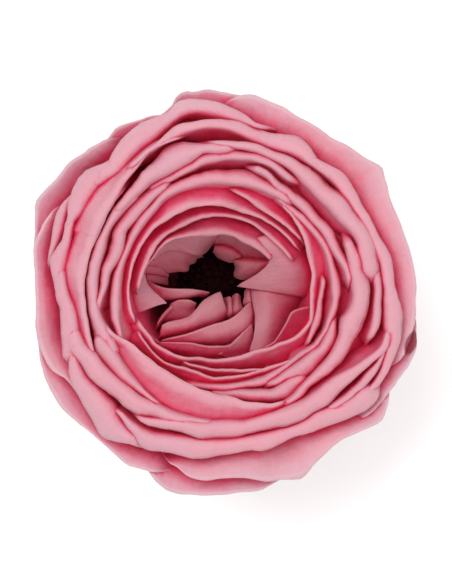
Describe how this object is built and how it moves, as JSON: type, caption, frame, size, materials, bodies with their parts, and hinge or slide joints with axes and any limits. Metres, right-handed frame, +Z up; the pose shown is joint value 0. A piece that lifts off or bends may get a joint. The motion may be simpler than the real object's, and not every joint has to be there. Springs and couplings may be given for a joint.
{
  "type": "preserved rose",
  "caption": "Open garden-rose head of many layered, rolled petals round a dark hollow, trimmed to a short stub that it stands on with its sepals folded back",
  "frame": {"origin": "centre of the stub's cut face, which lies on the surface the head stands on", "axes": "+Z up through the bloom, +X to the right and +Y to the top of the picture, which looks straight down"},
  "size_m": [0.0577, 0.061, 0.0438],
  "materials": {
    "petal": "matte, soft and slightly velvety",
    "anther": "matte, dusty",
    "calyx": "dry, satin"
  },
  "bodies": {
    "root": {"bloom": "petal", "stamens": "anther", "calyx": "calyx"}
  },
  "joints": []
}
